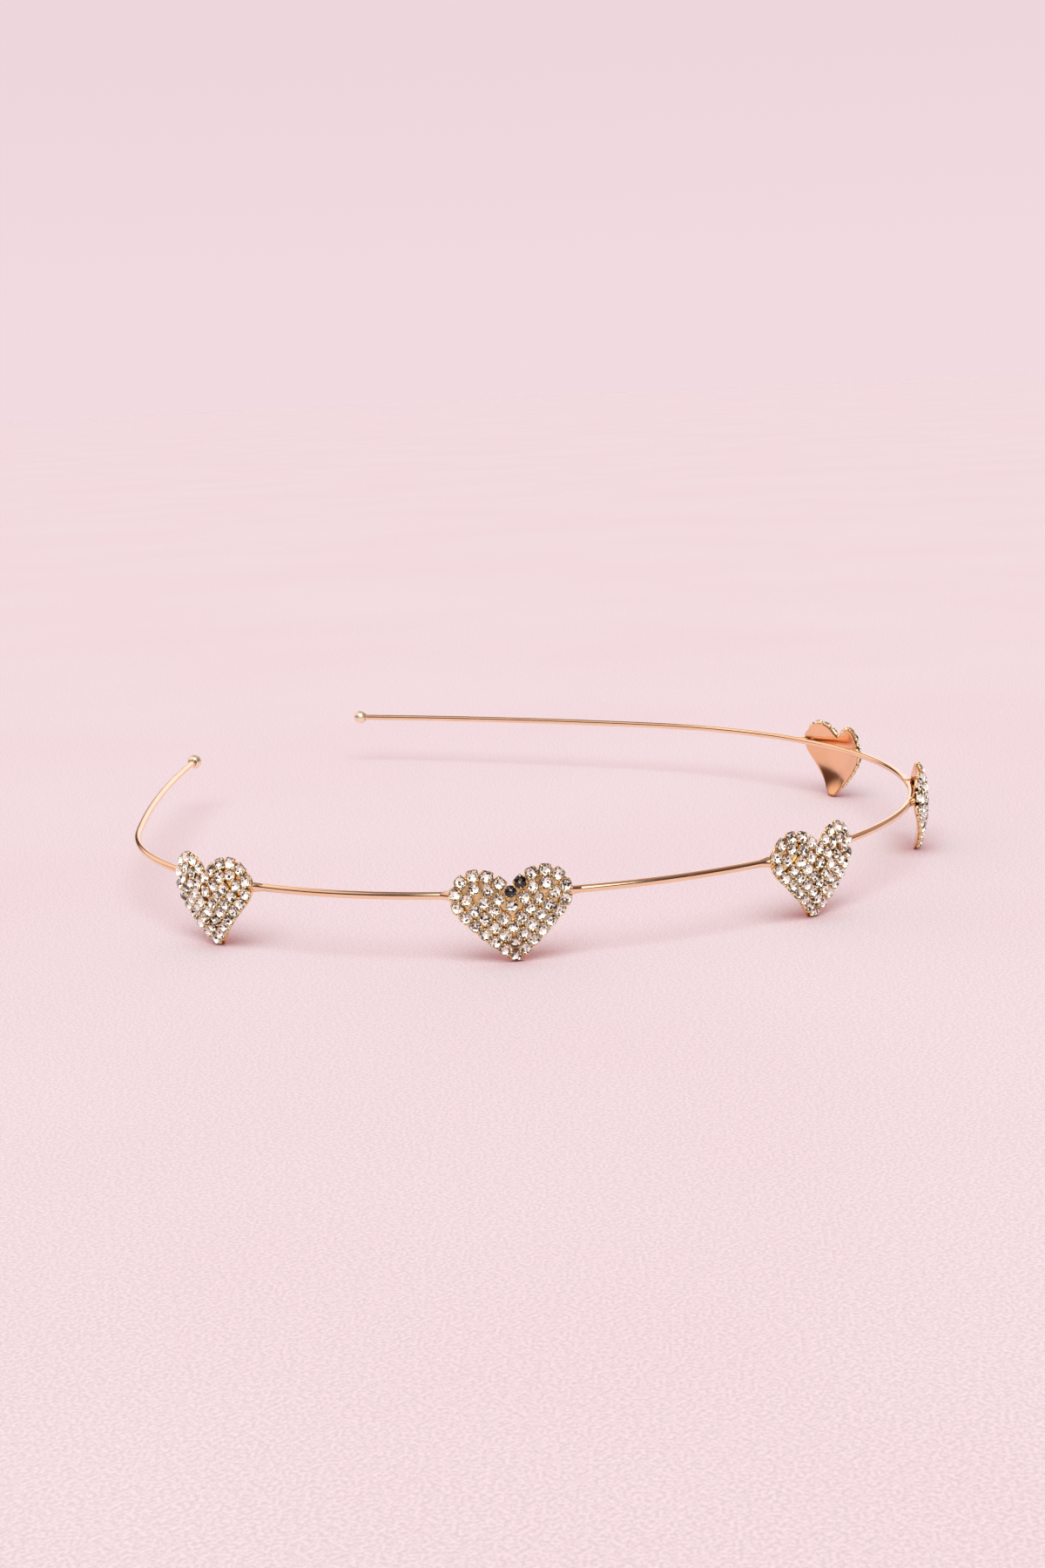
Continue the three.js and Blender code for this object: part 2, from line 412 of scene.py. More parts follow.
class ShaderGroup:
    """An effect that more than one material uses, built once and placed with each material's own values."""

    NAME: str
    INPUTS: dict[str, Socket]
    OUTPUTS: dict[str, Socket]

    def results(self, bench: NodeBench, given: bpy.types.NodeOutputs) -> dict[str, bpy.types.NodeSocket]:
        """Lays out the effect.

        Args:
            bench: Bench of the group's node tree.
            given: Sockets of the values that a material gives.

        Returns:
            The source of each output, by name.
        """
        raise NotImplementedError

    def tree(self) -> bpy.types.NodeTree:
        """Gives the group, built at its first use.

        Returns:
            The node group.
        """
        found = bpy.data.node_groups.get(self.NAME)
        if found:
            return found
        tree = bpy.data.node_groups.new(self.NAME, "ShaderNodeTree")
        for name, kind in self.INPUTS.items():
            tree.interface.new_socket(name, in_out="INPUT", socket_type=kind.value)
        for name, kind in self.OUTPUTS.items():
            tree.interface.new_socket(name, in_out="OUTPUT", socket_type=kind.value)
        bench = NodeBench(tree)
        given = bench.node("NodeGroupInput").outputs
        bench.node("NodeGroupOutput", self.results(bench, given))
        return tree

    def place(self, bench: NodeBench, values: dict[str, Given]) -> bpy.types.NodeOutputs:
        """Places the group in a material.

        Args:
            bench: Bench of the material's node tree.
            values: The material's values, by the name of the input.

        Returns:
            The group's outputs.
        """
        return bench.node("ShaderNodeGroup", values, node_tree=self.tree()).outputs


class PlatingDrift(ShaderGroup):
    """Plated metal: tone that drifts, painted shade that darkens it in nooks, handled spots and a faint
    ripple.
    """

    NAME = "plating_drift"
    INPUTS = {"Bright Tone": Socket.COLOUR, "Deep Tone": Socket.COLOUR, "Painted Crevice Shade": Socket.COLOUR,
              "Polished": Socket.VALUE, "Handled": Socket.VALUE, "Ripple Scale": Socket.VALUE}
    OUTPUTS = {"Tone": Socket.COLOUR, "Roughness": Socket.VALUE, "Ripple": Socket.VALUE}
    PATCHES = 120.0
    PATCH_DETAIL = 2.0
    PATCH_SPAN = (0.35, 0.65)
    SPOTS = 420.0
    SPOT_DETAIL = 4.0
    SPOT_SPAN = (0.5, 0.75)
    # Reach and span of the painted shade in nooks.
    CREVICE_SHADE_REACH = 1.2 * MM
    CREVICE_SHADE_SPAN = (0.15, 0.7)
    RIPPLE_DETAIL = 1.0

    def results(self, bench: NodeBench, given: bpy.types.NodeOutputs) -> dict[str, bpy.types.NodeSocket]:
        """Lays out the drift.

        Args:
            bench: Bench of the group's node tree.
            given: Sockets of the values that a material gives.

        Returns:
            The source of each output, by name.
        """
        points = bench.node("ShaderNodeTexCoord").outputs["Object"]
        patch = bench.span(bench.grain(points, self.PATCHES, self.PATCH_DETAIL), *self.PATCH_SPAN)
        tone = bench.mix(patch, given["Bright Tone"], given["Deep Tone"])
        # Painted shade: where other surfaces hem the metal in, its tone is darkened to the shade colour.
        bare = bench.openness(self.CREVICE_SHADE_REACH, *self.CREVICE_SHADE_SPAN)
        spots = bench.grain(points, self.SPOTS, self.SPOT_DETAIL)
        return {
            "Tone": bench.mix(bare, given["Painted Crevice Shade"], tone),
            "Roughness": bench.span(spots, *self.SPOT_SPAN, given["Polished"], given["Handled"]),
            "Ripple": bench.grain(points, given["Ripple Scale"], self.RIPPLE_DETAIL),
        }


class FoilShards(ShaderGroup):
    """Foil behind a stone, crazed into shards with a lean of their own; a share of the shards is painted
    dark, as painted dark reflections in the stone.
    """

    NAME = "foil_shards"
    INPUTS = {"Light Tone": Socket.COLOUR, "Dark Tone": Socket.COLOUR, "Dark Share": Socket.VALUE}
    OUTPUTS = {"Tone": Socket.COLOUR, "Normal": Socket.VECTOR}
    SHARDS = 4000.0
    FADE = 0.1
    FACET_TILT = 0.25
    SHARD_TILT = 0.25

    def results(self, bench: NodeBench, given: bpy.types.NodeOutputs) -> dict[str, bpy.types.NodeSocket]:
        """Lays out the shards.

        Args:
            bench: Bench of the group's node tree.
            given: Sockets of the values that a material gives.

        Returns:
            The source of each output, by name.
        """
        points = bench.node("ShaderNodeTexCoord").outputs["Object"]
        shard = bench.node("ShaderNodeTexVoronoi", {"Vector": points, "Scale": self.SHARDS}).outputs["Color"]
        draw = bench.node("ShaderNodeSeparateXYZ", {"Vector": shard}).outputs["X"]
        # Painted reflection: a share of the shards, set by the dark share, takes the dark tone in place of
        # the foil's own.
        limits = [bench.node("ShaderNodeMath", {0: given["Dark Share"], 1: side * self.FADE}).outputs[0]
                  for side in (-1, 1)]
        facet = bench.node("ShaderNodeAttribute", attribute_name=FACET_LEAN).outputs["Vector"]
        flat = bench.node("ShaderNodeNewGeometry").outputs["Normal"]
        leaning = bench.vector("MULTIPLY_ADD", facet, (self.FACET_TILT,) * 3, flat)
        centred = bench.vector("SUBTRACT", shard, (0.5,) * 3)
        leaning = bench.vector("MULTIPLY_ADD", centred, (2 * self.SHARD_TILT,) * 3, leaning)
        return {
            "Tone": bench.mix(bench.span(draw, *limits), given["Dark Tone"], given["Light Tone"]),
            "Normal": bench.vector("NORMALIZE", leaning),
        }


@dataclass(frozen=True)
class GiltFinish:
    """Gold plating, from bright polish to satin."""

    name: str
    bright: Colour
    deep: Colour
    # Colour of the painted shade in nooks and between parts.
    crevice_shade: Colour
    polished: float
    handled: float
    ripple: float
    ripple_scale: float = 260.0
    ripple_height: float = 0.1

    def material(self) -> bpy.types.Material:
        """Makes the material.

        Returns:
            The material, with its drift taken from the shared group.
        """
        made, bench = new_material(self.name)
        drift = PlatingDrift().place(bench, {
            "Bright Tone": rgba(self.bright),
            "Deep Tone": rgba(self.deep),
            "Painted Crevice Shade": rgba(self.crevice_shade),
            "Polished": self.polished,
            "Handled": self.handled,
            "Ripple Scale": self.ripple_scale,
        })
        bump = bench.node("ShaderNodeBump", {"Height": drift["Ripple"], "Strength": self.ripple,
                                             "Distance": self.ripple_height * MM})
        bench.surface({
            "Base Color": drift["Tone"],
            "Metallic": 1.0,
            "Roughness": drift["Roughness"],
            "Normal": bump.outputs["Normal"],
        })
        return made


@dataclass(frozen=True)
class CrystalFinish:
    """Clear cut glass, polished but for a faint film from handling."""

    name: str = "clear_crystal"
    refraction: float = 1.56
    clean: float = 0.0
    filmed: float = 0.03
    film_scale: float = 700.0
    film_detail: float = 2.0
    film_span: tuple[float, float] = (0.5, 0.8)

    def material(self) -> bpy.types.Material:
        """Makes the material.

        Returns:
            The material.
        """
        made, bench = new_material(self.name)
        points = bench.node("ShaderNodeTexCoord").outputs["Object"]
        film = bench.grain(points, self.film_scale, self.film_detail)
        bench.surface({
            "Base Color": rgba((1.0, 1.0, 1.0)),
            "Roughness": bench.span(film, *self.film_span, self.clean, self.filmed),
            "IOR": self.refraction,
            "Transmission Weight": 1.0,
        })
        return made


@dataclass(frozen=True)
class FoilFinish:
    """Mirror foil behind a stone, of which a share is painted dark, as painted dark reflections in the stone.
    """

    name: str
    light: Colour
    dark: Colour
    # Share of the shards painted dark, as painted dark reflections.
    dark_share: float
    roughness: float

    def material(self) -> bpy.types.Material:
        """Makes the material.

        Returns:
            The material, with its shards taken from the shared group.
        """
        made, bench = new_material(self.name)
        shards = FoilShards().place(bench, {
            "Light Tone": rgba(self.light),
            "Dark Tone": rgba(self.dark),
            "Dark Share": self.dark_share,
        })
        bench.surface({
            "Base Color": shards["Tone"],
            "Metallic": 1.0,
            "Roughness": self.roughness,
            "Normal": shards["Normal"],
        })
        return made


@dataclass(frozen=True)
class FloorFinish:
    """Pale matt cloth with a faint slub and fine fibres, with a painted rosy shadow round whatever stands on
    it.
    """

    name: str = "pale_floor"
    light: Colour = (0.702, 0.560, 0.584)
    deep: Colour = (0.686, 0.538, 0.562)
    patch_scale: float = 9.0
    patch_detail: float = 3.0
    patch_span: tuple[float, float] = (0.3, 0.7)
    # Colour, reach in millimetres and span of the painted contact shadow.
    shade: Colour = (0.71, 0.42, 0.44)
    shade_reach: float = 6.0
    shade_span: tuple[float, float] = (0.4, 1.0)
    slub_scale: float = 260.0
    slub_detail: float = 4.0
    slub_strength: float = 0.15
    slub_height: float = 0.2
    fibre_scale: float = 2400.0
    fibre_detail: float = 2.0
    fibre_span: tuple[float, float] = (0.25, 0.75)
    fibre_depth: float = 0.11
    roughness: float = 0.9
    sheen: float = 0.1

    def material(self) -> bpy.types.Material:
        """Makes the material.

        Returns:
            The material.
        """
        made, bench = new_material(self.name)
        points = bench.node("ShaderNodeTexCoord").outputs["Object"]
        patch = bench.span(bench.grain(points, self.patch_scale, self.patch_detail), *self.patch_span)
        slub = bench.grain(points, self.slub_scale, self.slub_detail)
        bump = bench.node("ShaderNodeBump", {"Height": slub, "Strength": self.slub_strength,
                                             "Distance": self.slub_height * MM})
        # Painted contact shadow: the cloth turns to the shade colour where other surfaces hem it in.
        bare = bench.openness(self.shade_reach * MM, *self.shade_span)
        cloth = bench.mix(bare, rgba(self.shade), bench.mix(patch, rgba(self.light), rgba(self.deep)))
        fibre = bench.span(bench.grain(points, self.fibre_scale, self.fibre_detail), *self.fibre_span,
                           1.0 - self.fibre_depth, 1.0 + self.fibre_depth)
        bench.surface({
            "Base Color": bench.vector("MULTIPLY", cloth, fibre),
            "Roughness": self.roughness,
            "Specular IOR Level": self.sheen,
            "Normal": bump.outputs["Normal"],
        })
        return made


@dataclass(frozen=True)
class Bend:
    """A stretch of the wire with one steady curve."""

    radius: float
    length: float


@dataclass
class BentWire:
    """The level axis of the wire: left arm, left side, front, right side and right arm, an arc each."""

    diameter: float = 1.23
    bends: tuple[Bend, ...] = (
        Bend(radius=410.0, length=71.5),
        Bend(radius=66.0, length=94.5),
        Bend(radius=76.0, length=116.8),
        Bend(radius=86.5, length=98.0),
        Bend(radius=410.0, length=73.5),
    )
    front: int = 2
    ball_past: float = 0.2
    middle: float = field(init=False)
    total: float = field(init=False)
    first_heading: float = field(init=False, default=0.0)
    origin: np.ndarray = field(init=False)

    def __post_init__(self) -> None:
        """Heads the middle of the front along +X and lays the ends in the frame's two balls."""
        self.origin = np.zeros(3)
        before = sum(bend.length for bend in self.bends[:self.front])
        self.middle = before + self.bends[self.front].length / 2
        self.total = sum(bend.length for bend in self.bends)
        self.first_heading = -self.at(self.middle)[1]
        offsets = []
        for end in End:
            low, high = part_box(f"tip_ball_{end.name.lower()}")
            offsets.append(np.array((low + high) / 2) / MM - self.ball_centre(end))
        self.origin = np.mean(offsets, axis=0)

    def at(self, run: float) -> tuple[np.ndarray, float]:
        """Follows the axis from the left end.

        Args:
            run: Length of wire to follow.

        Returns:
            The point there, and the heading in radians.
        """
        point = self.origin.copy()
        heading = self.first_heading
        left = run
        for bend in self.bends:
            step = min(left, bend.length)
            ahead = heading + step / bend.radius
            point[0] += bend.radius * (math.sin(ahead) - math.sin(heading))
            point[1] += bend.radius * (math.cos(heading) - math.cos(ahead))
            heading = ahead
            left -= step
        return point, heading

    def end_run(self, end: End) -> float:
        """Length of wire up to an end."""
        return 0.0 if end is End.LEFT else self.total

    def outward(self, end: End) -> np.ndarray:
        """Direction that leads out of an end."""
        return end.value * along_way(self.at(self.end_run(end))[1])

    def ball_centre(self, end: End) -> np.ndarray:
        """Centre of the ball on an end."""
        return self.at(self.end_run(end))[0] + self.ball_past * self.outward(end)

    def ring(self, run: float, radii: np.ndarray, outwards: float = 0.0) -> np.ndarray:
        """Ring of corners square to the axis.

        Args:
            run: Length of wire up to the ring.
            radii: Distance of each corner from the ring's middle.
            outwards: How far the ring's middle lies outwards of the axis.

        Returns:
            The corners, one row each.
        """
        point, heading = self.at(run)
        angles = np.linspace(0.0, 2 * math.pi, len(radii), endpoint=False)
        aside = np.outer(outwards + radii * np.cos(angles), outside_way(heading))
        return point + aside + np.outer(radii * np.sin(angles), UP)


@dataclass(frozen=True)
class HeartShape:
    """Outline of a heart, measured from the wire's crossing, and the dome that it is pressed to."""

    lobe_top: float = 4.65
    lobe_offset: float = 5.15
    lobe_inner_radius: float = 6.2
    lobe_outer_radius: float = 4.6
    lobe_wrap: float = math.radians(44.0)
    tip: float = -10.6
    tip_half_width: float = 0.8
    dome_radius: float = 26.0
    dome_centre: float = -1.3
    arc_points: int = 30

    def half(self, inset: float) -> np.ndarray:
        """Right half of the outline, drawn in.

        Args:
            inset: How far the outline is drawn in.

        Returns:
            Its points from the cleft over the lobe and down the side to the tip.
        """
        inner = (self.lobe_offset, self.lobe_top - self.lobe_inner_radius)
        outer = (self.lobe_offset, self.lobe_top - self.lobe_outer_radius)
        cleft_angle = math.acos(self.lobe_offset / self.lobe_inner_radius)
        cleft = inner[1] + self.lobe_inner_radius * math.sin(cleft_angle)

        inward = np.array((-math.cos(self.lobe_wrap), math.sin(self.lobe_wrap)))
        side_start = np.array(outer) - self.lobe_outer_radius * inward
        chord = side_start - np.array((self.tip_half_width, self.tip))
        side_radius = -chord.dot(chord) / (2 * chord.dot(inward))
        side_centre = side_start + side_radius * inward
        drawn = side_radius - inset
        crossing = side_centre[1] - math.sqrt(drawn ** 2 - side_centre[0] ** 2)
        low = max(self.tip + inset, crossing)
        low_angle = math.asin((low - side_centre[1]) / drawn)

        quarter = math.pi / 2
        runs = [
            arc(inner, self.lobe_inner_radius - inset, math.pi - cleft_angle, quarter, self.arc_points),
            arc(outer, self.lobe_outer_radius - inset, quarter, -self.lobe_wrap, self.arc_points),
            arc(tuple(side_centre), drawn, -self.lobe_wrap, low_angle, self.arc_points),
            np.array(((0.0, low),)),
        ]
        if inset > 0:
            runs.insert(0, arc((0.0, cleft), inset, -quarter, -cleft_angle, self.arc_points))
        points = np.vstack(runs)
        steps = np.linalg.norm(np.diff(points, axis=0), axis=1)
        return points[np.concatenate(([True], steps > SAME_PLACE))]

    def outline(self) -> np.ndarray:
        """Whole outline.

        Returns:
            Its points, once round from the cleft over the right lobe.
        """
        half = self.half(0.0)
        mirrored = half[1:-1][::-1] * MIRROR
        return np.vstack((half, mirrored))

    def on_dome(self, places: np.ndarray, level: float | np.ndarray) -> np.ndarray:
        """Points of the dome over places on the heart.

        Args:
            places: Rows of (x, y).
            level: Height of the dome's top over the wire's axis.

        Returns:
            Rows of (x, y, z).
        """
        drop = (places[:, 0] ** 2 + (places[:, 1] - self.dome_centre) ** 2) / (2 * self.dome_radius)
        return np.column_stack((places, level - drop))

    def normals(self, places: np.ndarray) -> np.ndarray:
        """Unit normals of the dome.

        Args:
            places: Rows of (x, y) on the heart.

        Returns:
            The normal over each place.
        """
        slopes = (places[:, 0], places[:, 1] - self.dome_centre, np.full(len(places), self.dome_radius))
        ways = np.column_stack(slopes)
        return ways / np.linalg.norm(ways, axis=1, keepdims=True)


@dataclass(frozen=True)
class HeartPlace:
    """Where a heart sits.

    Its place is counted from the middle heart, its slip runs along the wire, and its lean is in degrees.
    The dull stones are numbers in the order of the field's places.
    """

    name: str
    place: int
    slip: float = 0.0
    lean: float = 0.0
    dull_stones: tuple[int, ...] = ()


@dataclass(frozen=True)
class HeartRow:
    """The five hearts along the wire."""

    spacing: float = 52.7
    places: tuple[HeartPlace, ...] = (
        HeartPlace("heart_1", -2, slip=-0.5, lean=1.5),
        HeartPlace("heart_2", -1, slip=-0.4, lean=2.4, dull_stones=(0, 1)),
        HeartPlace("heart_3", 0),
        HeartPlace("heart_4", 1),
        HeartPlace("heart_5", 2, slip=-0.6, lean=1.5),
    )

    def run(self, wire: BentWire, place: HeartPlace) -> float:
        """Length of wire up to the middle of a heart."""
        return wire.middle + place.place * self.spacing + place.slip

    def seat(self, wire: BentWire, place: HeartPlace, points: np.ndarray) -> np.ndarray:
        """Moves points from a heart's own axes to the part's frame.

        Args:
            wire: The wire that carries the heart.
            place: Which heart.
            points: Rows of (along the wire, up, outwards).

        Returns:
            The points in the part's frame.
        """
        point, heading = wire.at(self.run(wire, place))
        lean = math.radians(place.lean)
        level = along_way(heading)
        along = math.cos(lean) * level + math.sin(lean) * UP
        above = math.cos(lean) * UP - math.sin(lean) * level
        return point + points @ np.array((along, above, outside_way(heading)))


@dataclass
class GiltFrame:
    """The soldered metal: the wire, the five pressed back plates and the solder that holds them."""

    wire: BentWire
    row: HeartRow
    shape: HeartShape
    wire_sides: int = 24
    wire_steps: int = 460
    plate_back: float = 1.9
    plate_thickness: float = 0.26
    rim_round: float = 0.12
    rim_steps: int = 4
    face_rings: tuple[float, ...] = (0.94, 0.84, 0.72, 0.58, 0.42, 0.22)
    side_trim: float = 0.3
    side_trim_from: tuple[float, float] = (-9.5, -8.0)
    lobe_trim: float = 0.75
    lobe_trim_from: tuple[float, float] = (1.2, 3.0)
    solder_reach: float = 9.35
    solder_inside: float = 1.8
    solder_outside: float = 1.9
    solder_radius: float = 0.84
    solder_outward: float = 0.3
    solder_sunk: float = 0.02
    solder_swell: float = 0.7
    solder_taper: float = 1.7
    solder_sides: int = 20
    solder_steps: int = 22
    lump: float = 0.05
    lump_seed: int = 7
    crease: float = 40.0

    def add_wire(self, mesh: JoinedMesh) -> None:
        """Adds the bare wire from end to end.

        Args:
            mesh: Mesh that takes it.
        """
        radii = np.full(self.wire_sides, self.wire.diameter / 2)
        runs = np.linspace(0.0, self.wire.total, self.wire_steps)
        rings = np.array([self.wire.ring(run, radii) for run in runs])
        mesh.skin(rings, self.wire.at(0.0)[0], self.wire.at(self.wire.total)[0])

    def plate_outline(self) -> tuple[np.ndarray, np.ndarray]:
        """Outline of a plate, a little smaller than the stones but for its tip.

        Returns:
            The outline's points and the inward unit normal at each.
        """
        outline = self.shape.outline()
        ahead = np.roll(outline, -1, axis=0) - np.roll(outline, 1, axis=0)
        inward = np.column_stack((ahead[:, 1], -ahead[:, 0]))
        inward /= np.linalg.norm(inward, axis=1, keepdims=True)
        trim = self.side_trim * smooth_step(outline[:, 1], *self.side_trim_from)
        trim += (self.lobe_trim - self.side_trim) * smooth_step(outline[:, 1], *self.lobe_trim_from)
        return outline + trim[:, None] * inward, inward

    def plate_rings(self) -> np.ndarray:
        """Rings of a plate in the heart's own axes.

        Returns:
            The rings, from the middle of the back over the rim to the middle of the front.
        """
        outline, inward = self.plate_outline()
        middle = np.array((0.0, self.shape.dome_centre))
        turns = np.linspace(0.0, math.pi / 2, self.rim_steps)
        draws = self.rim_round * (1 - np.sin(turns))
        rises = self.rim_round * (1 - np.cos(turns))
        spokes = outline + self.rim_round * inward - middle

        def face(level: float) -> list[np.ndarray]:
            """Rings of a face, from its rim to its middle."""
            return [self.shape.on_dome(middle + scale * spokes, level) for scale in self.face_rings]

        def rim(level: float, sign: int) -> list[np.ndarray]:
            """Rings of half a rim, from a face to the edge."""
            return [self.shape.on_dome(outline + draw * inward, level + sign * rise)
                    for draw, rise in zip(draws, rises)]

        back = self.plate_back
        front = back + self.plate_thickness
        return np.array(face(back)[::-1] + rim(back, 1) + rim(front, -1)[::-1] + face(front))

    def add_plates(self, mesh: JoinedMesh) -> None:
        """Adds the back plate of every heart.

        Args:
            mesh: Mesh that takes them.
        """
        rings = self.plate_rings()
        back = np.array((0.0, self.shape.dome_centre, self.plate_back))
        front = back + self.plate_thickness * UP
        face_bands = len(self.face_rings) + 1
        back_bands = len(rings) + 1 - face_bands
        slots = [FrameLayer.PLATE_BACK.value] * back_bands + [FrameLayer.PLATE_FACE.value] * face_bands
        for place in self.row.places:
            placed = self.row.seat(self.wire, place, rings.reshape(-1, 3)).reshape(rings.shape)
            ends = self.row.seat(self.wire, place, np.array((back, front)))
            mesh.skin(placed, ends[0], ends[1], slots)

    def solder_radii(self, steps: np.ndarray) -> np.ndarray:
        """Thickness of a solder fillet along the wire.

        Args:
            steps: Distances from the plate's edge, outwards.

        Returns:
            The fillet's radius at each, just under the wire's own at both ends.
        """
        bare = self.wire.diameter / 2 - self.solder_sunk
        inside = np.cos(np.clip(steps / self.solder_inside, -1, 0) * math.pi / 2) ** self.solder_swell
        outside = (1 - np.clip(steps / self.solder_outside, 0, 1)) ** self.solder_taper
        return bare + (self.solder_radius - bare) * np.where(steps < 0, inside, outside)

    def add_solder(self, mesh: JoinedMesh) -> None:
        """Adds a fillet of solder at both edges of every heart, each with its own small lumps.

        Args:
            mesh: Mesh that takes them.
        """
        chance = random.Random(self.lump_seed)
        angles = np.linspace(0.0, 2 * math.pi, self.solder_sides, endpoint=False)
        steps = np.linspace(-self.solder_inside, self.solder_outside, self.solder_steps)
        radii = self.solder_radii(steps)
        for place in self.row.places:
            for side in End:
                edge = self.row.run(self.wire, place) + side.value * self.solder_reach
                phase = chance.uniform(0.0, 2 * math.pi)
                swell = self.lump * np.sin(2 * angles + phase) + self.lump * np.sin(3 * angles - phase)
                thick = (radii - radii.min()) / (radii.max() - radii.min())
                rings = np.array([self.wire.ring(edge + side.value * step, radius + share * swell,
                                                 share * self.solder_outward)
                                  for step, radius, share in zip(steps, radii, thick)])
                ends = [self.wire.at(edge + side.value * step)[0] for step in (steps[0], steps[-1])]
                mesh.skin(rings, ends[0], ends[1])

    def build(self, finishes: list[bpy.types.Material]) -> bpy.types.Object:
        """Builds the frame as one piece.

        Args:
            finishes: Materials in the order of FrameLayer.

        Returns:
            The piece.
        """
        mesh = JoinedMesh()
        self.add_wire(mesh)
        self.add_plates(mesh)
        self.add_solder(mesh)
        piece = mesh.make("gilt_frame", finishes, self.crease)
        dress(piece, "band_frame")
        return piece


@dataclass
class CutStone:
    """A round stone with a table, 32 crown facets and a foiled base, its girdle in its own XY plane."""

    radius: float = 0.94
    table_radius: float = 0.52
    table_height: float = 0.48
    star_radius: float = 0.72
    girdle_half: float = 0.03
    lower_radius: float = 0.48
    culet_radius: float = 0.2
    depth: float = 0.44
    folds: int = 8

    def corners(self) -> np.ndarray:
        """Corners of the stone.

        Returns:
            The corners of table, star points, upper and lower girdle, lower points and culet.
        """
        step = 2 * math.pi / self.folds
        mains = np.arange(self.folds) * step
        halves = mains + step / 2
        both = np.arange(2 * self.folds) * step / 2
        slant = math.cos(step / 2)
        share = (self.star_radius * slant - self.table_radius) / (self.radius - self.table_radius)
        star_height = self.table_height + share * (self.girdle_half - self.table_height)
        share = (self.lower_radius * slant - self.culet_radius) / (self.radius - self.culet_radius)
        lower_height = -self.depth + share * (self.depth - self.girdle_half)

        def ring(angles: np.ndarray, radius: float, height: float) -> np.ndarray:
            """Ring of corners at a height."""
            heights = np.full(len(angles), height)
            return np.column_stack((radius * np.cos(angles), radius * np.sin(angles), heights))

        return np.vstack((
            ring(mains, self.table_radius, self.table_height),
            ring(halves, self.star_radius, star_height),
            ring(both, self.radius, self.girdle_half),
            ring(both, self.radius, -self.girdle_half),
            ring(halves, self.lower_radius, lower_height),
            ring(mains, self.culet_radius, -self.depth),
        ))

    def crown(self) -> list[Face]:
        """Faces of clear glass.

        Returns:
            The table, stars, kites, upper girdle facets and the girdle itself.
        """
        n = self.folds
        star, girdle, under = n, 2 * n, 4 * n
        faces: list[Face] = [tuple(range(n))]
        for i in range(n):
            after = (i + 1) % n
            before = (i - 1) % n
            middle = girdle + 2 * i + 1
            faces.append((i, star + i, after))
            faces.append((i, star + before, girdle + 2 * i, star + i))
            faces.append((star + i, girdle + 2 * i, middle))
            faces.append((star + i, middle, girdle + 2 * after))
        for i in range(2 * n):
            after = (i + 1) % (2 * n)
            faces.append((girdle + i, under + i, under + after, girdle + after))
        return faces

    def pavilion(self) -> list[Face]:
        """Foiled faces below the girdle.

        Returns:
            The culet and, round it, the lower facets.
        """
        n = self.folds
        under, lower, culet = 4 * n, 6 * n, 7 * n
        faces: list[Face] = [tuple(culet + i for i in range(n))]
        for i in range(n):
            after = (i + 1) % n
            before = (i - 1) % n
            middle = under + 2 * i + 1
            faces.append((culet + i, culet + after, lower + i))
            faces.append((culet + i, lower + i, under + 2 * i, lower + before))
            faces.append((lower + i, middle, under + 2 * i))
            faces.append((lower + i, under + 2 * after, middle))
        return faces


